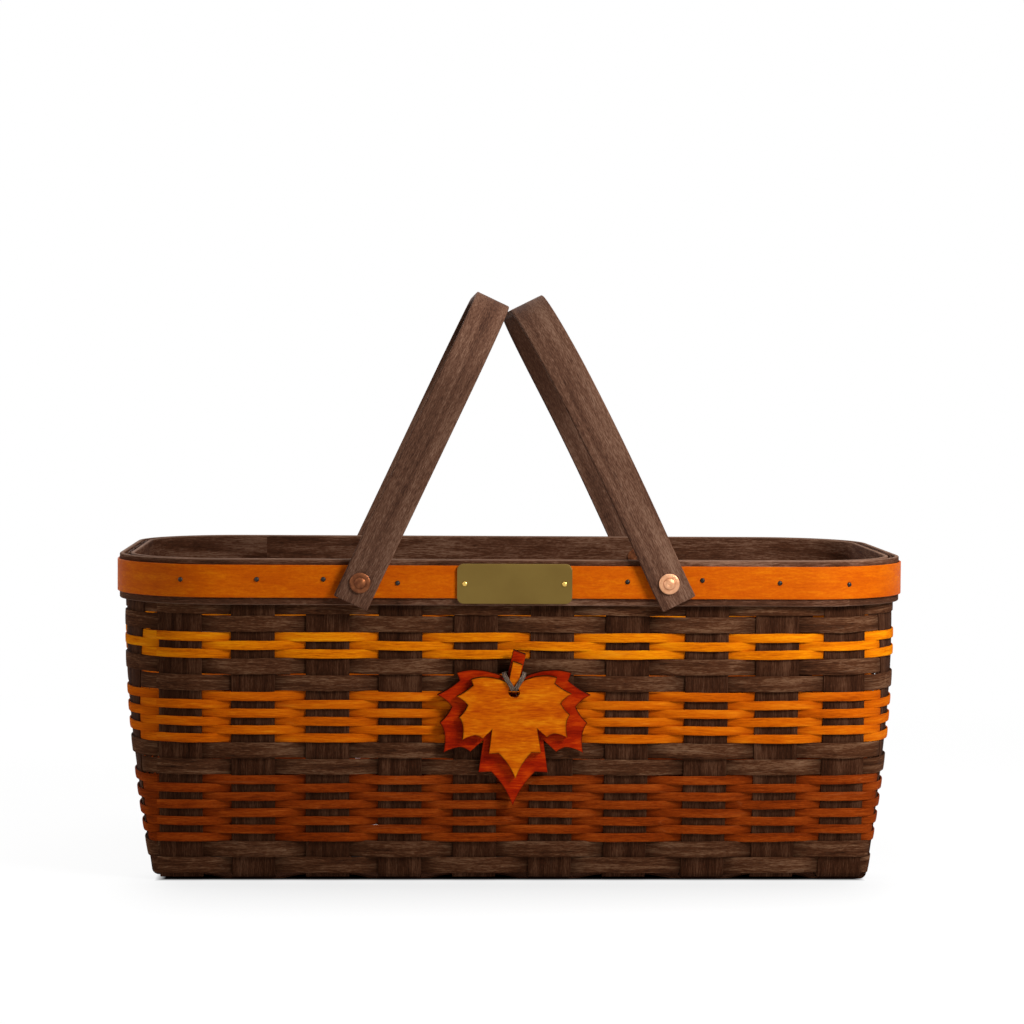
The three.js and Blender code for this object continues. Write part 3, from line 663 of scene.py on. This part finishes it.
def handleStrip(name, side):
    # a flat section carried up one leg, round a quarter bend, along the top and down the other leg, bowed by
    # half a sine over its height and leaned about the rivets until it meets the other handle
    t, reach, tail, bend = handles["thickness"], handles["reach"], handles["tail"], handles["bend"]
    legMiddle = handles["legFace"] + t / 2
    radius = bend - t / 2
    leg, arc, top = reach - bend + tail, radius * np.pi / 2, 2 * (legMiddle - radius)
    length = 2 * (leg + arc) + top
    along = withEnds(np.linspace(0, length, int(length / handles["step"])), handles["endRound"])
    # half of the path from a tail up, over the bend and along the top, mirrored past the middle
    q = np.minimum(along, length - along)[:, None]
    turn = np.clip((q - leg) / radius, 0, np.pi / 2)
    past = np.clip(q - leg - arc, 0, None)
    y = -legMiddle + radius * (1 - np.cos(turn)) + past
    up = -tail + np.minimum(q, leg) + radius * np.sin(turn)
    mirror = np.where(along > length / 2, -1, 1)[:, None]
    v, h, around, mark = stripSection(handles["width"], t, handles["edge"], faceSteps=8, bendSteps=4)
    draw = endInset(along, handles["endRound"])[:, None]
    across = v * (1 - draw / (handles["width"] / 2))
    out = h * (1 - draw / (t / 2) * handles["endThin"])
    y = mirror * (y - out * np.cos(turn))
    up = up + out * np.sin(turn)
    # painted shade on the inner face, rising to full at the bend
    paintedBendShade = np.clip((q - leg) / handles["paintedBendShade"] + 1, 0, 1) * (h < 0)
    corner = math.hypot(reach, handles["width"] / 2)
    shift = handles["halfSpan"] - handles["fit"] / 2 - side * handles["meet"]
    lean = -side * (math.asin(shift / corner) - math.atan2(handles["width"] / 2, reach))
    across = across + handles["flex"][side] * np.sin(np.pi * np.clip(up / reach, 0, 1))
    x = side * handles["halfSpan"] + across * math.cos(lean) + up * math.sin(lean)
    z = boxMiddle("burr_front_left")[0][2] - across * math.sin(lean) + up * math.cos(lean)
    surface(name + "_bent", asPoints(x, y, z), woods["handle"], along + handles["grainShift"] * side,
            around + handles["grainAcross"] * side, body=name,
            edge=np.maximum(mark * handles["edgeMark"], paintedBendShade), replaced=[name])


handleStrip("handle_left", -1)
handleStrip("handle_right", 1)
print("handles made")


# Metals, leaf woods and cord
def oldMetal(name, bright, dull, tarnish, rough, ringMm=0.0, cloudMm=3.0, gritMm=0.6):
    # solid metal that has been handled: clear in places, browned in others, with fine marks that scatter the
    # shine; rings left by the setting tool where ringMm gives their spacing along the UV's first axis
    material, tree = newMaterial(name)
    place = addNode(tree, "TexCoord").outputs["Object"]
    cloud = grain(tree, place, [cloudMm] * 3, detail=4)
    grit = grain(tree, place, [gritMm] * 3, detail=3)
    stain = addNode(tree, "MapRange", [cloud, 0.75 - tarnish, 1.15 - tarnish])   # tarnish browns more of it
    colour = addNode(tree, "Mix", [stain, linear(bright), linear(dull)], data_type="RGBA")
    height = grit
    if ringMm:
        scale = 1 / (ringMm * mm) / 3.2   # a wave of scale 1 has about 3.2 rings a unit
        wave = addNode(tree, "TexWave", {"Vector": addNode(tree, "UVMap"), "Scale": scale, "Distortion": 0.6})
        height = addNode(tree, "Math", [wave.outputs["Fac"], grit], operation="ADD")
    finishMaterial(tree, colour, grit, rough, relief=(0.4, 0.00012), more={"Metallic": 1.0}, height=height)
    return material


def stainedPly(name, tones, burnt, rough=(0.42, 0.6), fineMm=(6, 9, 0.9), slowMm=(26, 9, 7), shine=0.03):
    # thin plywood stained in one coat, grain running across the leaf, its cut edges browned by the cutter
    material, tree = newMaterial(name)
    place = addNode(tree, "TexCoord").outputs["Object"]
    fine = grain(tree, place, fineMm, detail=5, rough=0.6, twist=0.3)
    slow = grain(tree, place, slowMm, detail=2, rough=0.6, twist=0.3)
    mixed = addNode(tree, "Mix", [0.5, fine, slow], data_type="FLOAT")
    tone = addNode(tree, "ValToRGB", [mixed], stops=zip((0.36, 0.5, 0.64), tones))
    edge = addNode(tree, "Attribute", attribute_name="edge").outputs["Fac"]
    colour = addNode(tree, "Mix", [edge, tone, linear(burnt)], data_type="RGBA")
    finishMaterial(tree, colour, fine, rough, relief=(0.4, 0.0002),
                   more={"IOR": 1.5, "Specular IOR Level": shine})
    return material


def twistedFibre(name, tones, strandMm=(2.2, 0.5)):
    # flat grey-brown cord of loose plant fibres, matt and a little hairy
    material, tree = newMaterial(name)
    strands = grain(tree, addNode(tree, "UVMap"), (*strandMm, 1), detail=4)
    tone = addNode(tree, "ValToRGB", [strands], stops=zip(grainLook["stops"], tones))
    finishMaterial(tree, tone, strands, rough=(0.85, 0.85), relief=(0.7, 0.0003),
                   more={"Specular IOR Level": 0.1})
    return material


metals = {
    # a lit copy and a shaded copy of one copper: painted light on one rivet, painted shade with more tarnish
    # on the rest
    "copperPaintedLit": oldMetal("struckCopperPaintedLit", "#d9a17a", "#b4764e", 0.3, (0.3, 0.5), 0.5),
    "copperPaintedShade": oldMetal("struckCopperPaintedShade", "#8d5636", "#5a3220", 0.5, (0.3, 0.5), 0.5),
    "brass": oldMetal("antiquedBrass", "#776131", "#6d572b", 0.4, (0.32, 0.4), cloudMm=30.0),
    "pinBrass": oldMetal("polishedBrassPin", "#d7b25e", "#8f7236", 0.2, (0.2, 0.34)),
    "bluedSteel": oldMetal("bluedSteelTack", "#3a3532", "#1d1a19", 0.4, (0.3, 0.5)),
}
leafWoods = {
    "back": stainedPly("redStainedPly", ("#881402", "#ac2402", "#cc4004"), "#260c02"),
    "front": stainedPly("goldenStainedPly", ("#b84402", "#d66402", "#ec880c"), "#361502"),
}
cordFibre = twistedFibre("twistedFlax", ("#2c231d", "#5c4b41", "#96826f"))
print("metals, leaf woods and cord made")


def revolved(name, centre, way, profile, material, replaced=(), steps=48, hollow=False):
    # a profile of (radius, height) turned once round a line through the centre along the given way
    way = np.array(way, float)
    side = np.cross(way, (0, 0, 1))
    side = side / np.linalg.norm(side)
    up = np.cross(side, way)
    profile = np.array(profile, float)
    radius, height = profile.T
    angle = np.linspace(0, 2 * np.pi, steps, endpoint=False)
    rays = np.cos(angle)[:, None] * side + np.sin(angle)[:, None] * up
    points = np.array(centre) + radius[:, None, None] * rays[None] + height[:, None, None] * way
    along = lengthAlong(np.vstack([profile, profile[:1]]) if hollow else profile)
    around = np.linspace(0, 2 * np.pi * radius.max(), steps + 1)
    surface(name, points, material, along, around, closed=hollow, replaced=replaced)


# Rivets: a flat head inside the rim, a shank, a burr outside the handle and the shank's end peened over it
rivets = {
    "burr": [(2.62, 0.0), (2.62, 0.9), (2.9, 1.08), (3.4, 1.02), (4.0, 1.1), (4.6, 1.02), (5.2, 1.05),
             (5.7, 0.92), (5.95, 0.62), (6.0, 0.3), (5.9, 0.0)],
    "peen": [(0.02, 1.55), (0.6, 1.5), (1.1, 1.62), (1.9, 1.62), (2.6, 1.42), (3.2, 1.0), (3.4, 0.5),
             (3.3, 0.1), (2.6, 0.0)],
    "head": [(2.5, 0.0), (5.2, 0.0), (5.5, 0.3), (5.4, 0.75), (4.8, 1.08), (3.2, 1.26), (0.02, 1.3)],
    "gap": 0.05,   # between the burr and the peened end
}


def setRivet(face, side):
    # two turned profiles on one line: head, shank and peened end in one, and the burr as a closed ring; the
    # peen and the burr are scaled to end where their CAD boxes end
    name = f"{face}_{side}"
    out = -1 if face == "front" else 1
    middle, size = boxMiddle("rivet_" + name)
    burrMiddle, burrSize = boxMiddle("burr_" + name)
    # the front right rivet, near the key, gets the painted light copy; the others the painted shade copy
    copper = metals["copperPaintedLit" if name == "front_right" else "copperPaintedShade"]
    centre = np.array([middle[0], 0, middle[2]])
    outer, inner = abs(middle[1]) + size[1] / 2, abs(middle[1]) - size[1] / 2
    burrIn = abs(burrMiddle[1]) - burrSize[1] / 2
    peenIn = burrIn + burrSize[1] + rivets["gap"]
    headHigh, peenHigh, burrHigh = (max(h for r, h in rivets[part]) for part in ("head", "peen", "burr"))
    head = [(r, inner + headHigh - h) for r, h in rivets["head"]][::-1]
    squash = (outer - peenIn) / peenHigh
    end = [(r, peenIn + h * squash) for r, h in rivets["peen"]][::-1]
    revolved("rivet_" + name + "_set", centre, (0, out, 0), head + end, copper, ["rivet_" + name])
    disc = [(r, burrIn + h / burrHigh * burrSize[1]) for r, h in rivets["burr"]]
    revolved("burr_" + name + "_disc", centre, (0, out, 0), disc, copper, ["burr_" + name],
             hollow=True)


for face in ("front", "back"):
    for side in ("left", "right"):
        setRivet(face, side)
print("rivets made: 4")

# Plate: a bare brass tag on the rim, held by two domed pins
plate = {"edge": 0.25, "corner": 3.8, "cornerRows": 9, "rows": 24, "pinSteps": 24,
         "pin": [(1.45, 0.0), (1.6, 0.2), (1.52, 0.56), (1.2, 0.92), (0.7, 1.14), (0.02, 1.2)]}


def makePlate():
    # a strip as tall as the tag carried along X, drawn in at both ends by its round corners
    middle, size = boxMiddle("brass_plate")
    curve = plate["corner"] * (1 - np.cos(np.linspace(0, np.pi / 2, plate["cornerRows"])))
    straight = np.linspace(plate["corner"], size[0] - plate["corner"], plate["rows"])
    along = np.unique(np.concatenate([curve, straight, size[0] - curve]))
    v, h, around, mark = stripSection(size[2], size[1], plate["edge"], faceSteps=8)
    z = middle[2] + v * (1 - endInset(along, plate["corner"]) / (size[2] / 2))[:, None]
    points = asPoints((middle[0] - size[0] / 2 + along)[:, None], middle[1] + h, z)
    surface("brass_plate_tag", points, metals["brass"], along, around, edge=mark, replaced=["brass_plate"])
    for side in ("left", "right"):
        node = "plate_pin_" + side
        middle, size = boxMiddle(node)
        face = abs(middle[1]) + size[1] / 2 - plate["pin"][-1][1]
        head = [(r, face + h) for r, h in plate["pin"]]
        revolved(node + "_dome", (middle[0], 0, middle[2]), (0, -1, 0), head, metals["pinBrass"], [node],
                 plate["pinSteps"])


makePlate()
print("plate made")

# Tacks: one through the rim at most uprights, driven by hand a little off its middle; none under the plate
# or at the round corners
tacks = {
    "dome": [(1.1, -0.6), (1.4, 0.0), (1.35, 0.3), (0.95, 0.66), (0.45, 0.84), (0.02, 0.88)], "steps": 14,
    "face": 5.7, "height": 175.7, "wander": 1.3, "bare": (4, 5, 10, 14, 25, 29),
    "front": {0: (2.6, 0.6), 1: (2.4, 1.1), 2: (-2.4, 1.3), 3: (-1.8, -0.7), 6: (-0.8, 0.4), 7: (-3.5, 1.4),
              8: (0.4, 0.0), 9: (-0.7, -1.0)},   # along the rim and up, for the ones that are listed
}


def driveTack(k):
    # a turned dome on the trim's face, at an upright's place along the rim outline plus its own shift
    shift, lift = tacks["front"].get(k, rng.uniform(-1, 1, 2) * tacks["wander"])
    place = (uprights[k] + shift) % total
    turn = np.interp(place, ring["s"][:-1], ring["rimTurn"])
    at = [np.interp(place, ring["s"][:-1], ring["rim"][:, axis]) for axis in (0, 1)]
    way = (math.cos(turn), math.sin(turn), 0)
    centre = (at[0] + tacks["face"] * way[0], at[1] + tacks["face"] * way[1], tacks["height"] + lift)
    revolved(f"tack_{k + 1:02d}", centre, way, tacks["dome"], metals["bluedSteel"], steps=tacks["steps"])


for k in range(len(uprights)):
    if k not in tacks["bare"]:
        driveTack(k)
print("tacks driven:", len(uprights) - len(tacks["bare"]))

# Leaves: two cut maple-leaf shapes of one outline on a lace, hung from the slit between two weavers
hang = next(joint for joint in frame["joints"] if joint["name"] == "leaf_swing")
leaves = {
    # the right half from the notch: x, height above the hole, and how far the edge to the next point bows out
    "half": [(6.3, 8.5, 0.3), (13.3, 11, 0.25), (19.6, 12.2, 0.8), (33, 10.8, 0), (31.3, 6.3, -0.6),
             (44.1, -2.2, -0.7), (35.7, -9.2, -0.7), (42.5, -18.7, -0.3), (40, -24.2, -0.6),
             (40.4, -36.3, -0.6), (30.5, -33, -0.4), (25, -35.8, 0), (17.4, -28.8, 0), (20, -48, 0),
             (12.7, -47.6, -1.3)],
    "tip": (0, -67.7), "stem": [(-3.9, 9.3), (-0.4, 24.4), (6.7, 21.7), (4, 9.3)],
    "hole": 3.3, "thickness": 3.0, "edge": 0.4, "edgeShare": 0.3, "segmentSteps": 10,
    "insets": (0.4, 0.9, 1.8, 3.6), "burns": (0.6, 0.2, 0.03, 0.0),   # rings beside the edge, how burnt
    "shares": (0.7, 0.4, 0.12, 0.0), "holeBurn": 0.15,   # rings nearer the hole, as shares of what is left
    "backStand": 3.4, "frontStand": 6.7, "frontScale": 0.75, "frontTurn": 1.4, "drop": 8.2,
}


def hangPoint(x, out, up):
    # from the ornament's frame to the basket's: leaned as its hinge axis leans, and moved to the pivot
    axis = np.array(hang["axis"])
    pivot = np.array(hang["pos_m"]) / mm
    y, z = -np.asarray(out), np.asarray(up)
    return asPoints(pivot[0] + x, pivot[1] - y * axis[1] + z * axis[2], pivot[2] - y * axis[2] - z * axis[1])


def leafOutline():
    # corner to corner round the leaf, each edge a shallow parabola that bows out by its own amount
    right = leaves["half"]
    left = [(-right[k][0], right[k][1], right[k - 1][2] if k else 0) for k in range(len(right) - 1, -1, -1)]
    corners = right + [(*leaves["tip"], right[-1][2])] + left + [(x, up, 0) for x, up in leaves["stem"]]
    points = np.array([c[:2] for c in corners], float)
    bow = np.array([c[2] for c in corners])[:, None, None]
    after = np.roll(points, -1, 0)
    way = (after - points) / np.linalg.norm(after - points, axis=1)[:, None]
    out = np.stack([-way[:, 1], way[:, 0]], -1)   # the outline runs clockwise, so its left is outside
    t = np.linspace(0, 1, leaves["segmentSteps"], endpoint=False)[None, :, None]
    bowed = points[:, None] * (1 - t) + after[:, None] * t + out[:, None] * bow * 4 * t * (1 - t)
    return bowed.reshape(-1, 2)


def cutLeaf(node, scale, turn, stand, wood):
    # rings drawn in from the outline to the hole on the front, and back again behind
    edge = leafOutline() * scale
    hole = edge / np.linalg.norm(edge, axis=1)[:, None] * leaves["hole"]
    reach = np.linalg.norm(edge - hole, axis=1)[:, None]
    thick, r, part = leaves["thickness"], leaves["edge"], leaves["edgeShare"]
    insets, shares = np.array(leaves["insets"]), np.array(leaves["shares"])
    front = np.concatenate([1 - insets / reach, shares * (1 - insets[-1] / reach)], 1)
    rounded = 1 - np.array([part, 0.0, 0.0, part]) * r / reach
    share = np.concatenate([front[:, ::-1], rounded, front], 1)
    count = front.shape[1]
    bend = [thick - part * r, thick - r, r, part * r]
    depth = np.concatenate([np.full(count, thick), bend, np.zeros(count)])
    burn = np.concatenate([leaves["burns"], np.zeros(len(shares) - 1), [leaves["holeBurn"]]])
    mark = np.concatenate([burn[::-1], np.ones(rounded.shape[1]), burn])
    flat = hole[:, None] + (edge - hole)[:, None] * share[..., None]
    c, s = math.cos(math.radians(turn)), math.sin(math.radians(turn))
    x, up = flat[..., 0] * c - flat[..., 1] * s, flat[..., 0] * s + flat[..., 1] * c
    points = hangPoint(x, stand + depth, up - leaves["drop"])
    along = np.arange(len(edge) + 1.0)
    around = np.arange(share.shape[1] + 1.0)
    surface(node + "_cut", points, wood, along, around, body="leaf_ornament", closed=True, edge=mark,
            replaced=[node])


cutLeaf("leaf_back", 1.0, 0.0, leaves["backStand"], leafWoods["back"])
cutLeaf("leaf_front", leaves["frontScale"], leaves["frontTurn"], leaves["frontStand"], leafWoods["front"])
print("leaves made")

# Lace: two flat strands from the hole over the front, through the notches and into the slit, knotted inside
lace = {
    "width": 2.6, "thickness": 0.8, "edge": 0.35, "steps": 90,
    # x, height above the hole, distance out from the slit
    "strand": [(0.2, 0.4, 5.0), (0.5, 1.2, 8.4), (0.9, 2.2, 10.2), (2.1, 4.4, 10.45), (4.1, 7.6, 10.4),
               (5.2, 9.4, 9.4), (5.7, 10.3, 7.2), (5.6, 10.7, 4.6), (3.6, 9.6, 2.9), (0.9, 8.4, 2.5),
               (0.16, 8.4, 0.9), (0.16, 8.4, -3.0)],
    "squeeze": (0.70, 0.85, 0.89, 0.65),   # where the slit pinches it, and the width and depth lost
    "faceWay": (0.9, 0.44), "turn": (0.55, 0.25),   # its width's way on the leaf, and where it turns level
    "knot": (2.6, 1.7, 1.7), "knotOut": -3.4, "knotGrid": (22, 40), "knotPole": 0.04, "knotRidge": 0.08,
    "knotTwist": (3, 4), "knotUv": (8, 10),   # ridges round it and along it, and the UV's length and girth
}


def smoothPath(points, steps):   # a curve through the points whose slope at each follows its two neighbours
    p = np.array(points, float)
    p = np.vstack([2 * p[0] - p[1], p, 2 * p[-1] - p[-2]])
    t = np.linspace(0, len(points) - 1, steps)
    k = np.minimum(t.astype(int), len(points) - 2)
    f = (t - k)[:, None]
    a, b, c, d = p[k], p[k + 1], p[k + 2], p[k + 3]
    square, cube = (2 * a - 5 * b + 4 * c - d) * f ** 2, (3 * b - a - 3 * c + d) * f ** 3
    return 0.5 * (2 * b + (c - a) * f + square + cube)


def tieLace():
    # each strand is a flat section carried along its curve, its width turning from the leaf's face to level
    v, h, around, mark = stripSection(lace["width"], lace["thickness"], lace["edge"], faceSteps=4)
    share = np.linspace(0, 1, lace["steps"])[:, None]
    start, end, widthLost, depthLost = lace["squeeze"]
    pinch = np.clip((share - start) / (end - start), 0, 1)
    v, h = v * (1 - widthLost * pinch), h * (1 - depthLost * pinch)
    for side, word in ((-1, "left"), (1, "right")):
        path = smoothPath([(side * x, up, out) for x, up, out in lace["strand"]], lace["steps"])
        tangent = np.gradient(path, axis=0)
        tangent /= np.linalg.norm(tangent, axis=1)[:, None]
        level = np.clip((share - lace["turn"][0]) / lace["turn"][1], 0, 1)
        onLeaf = np.array([lace["faceWay"][0], -side * lace["faceWay"][1], 0])
        wide = onLeaf * (1 - level) + np.array([1, 0, 0]) * level
        wide = wide - (wide * tangent).sum(1)[:, None] * tangent
        wide /= np.linalg.norm(wide, axis=1)[:, None]
        thick = np.cross(tangent, wide)
        local = path[:, None] + v[..., None] * wide[:, None] + h[..., None] * thick[:, None]
        points = hangPoint(local[..., 0], local[..., 2], local[..., 1] - leaves["drop"])
        surface("leaf_lace_" + word, points, cordFibre, lengthAlong(path), around, body="leaf_ornament",
                replaced=["leaf_lace"])
    # the knot is an egg with a twist of low ridges
    rows, columns = lace["knotGrid"]
    u = np.linspace(lace["knotPole"], np.pi - lace["knotPole"], rows)[:, None]
    w = np.linspace(0, 2 * np.pi, columns, endpoint=False)[None, :]
    swell = 1 + lace["knotRidge"] * np.sin(lace["knotTwist"][0] * w + lace["knotTwist"][1] * u)
    a, b, c = lace["knot"]
    x, up, out = a * np.cos(u) * swell, b * np.sin(u) * np.sin(w) * swell, c * np.sin(u) * np.cos(w) * swell
    points = hangPoint(x, out + lace["knotOut"], up)
    length, girth = lace["knotUv"]
    surface("leaf_lace_knot", points, cordFibre, np.linspace(0, length, rows),
            np.linspace(0, girth, columns + 1), body="leaf_ornament", replaced=["leaf_lace"])


tieLace()
print("lace tied")
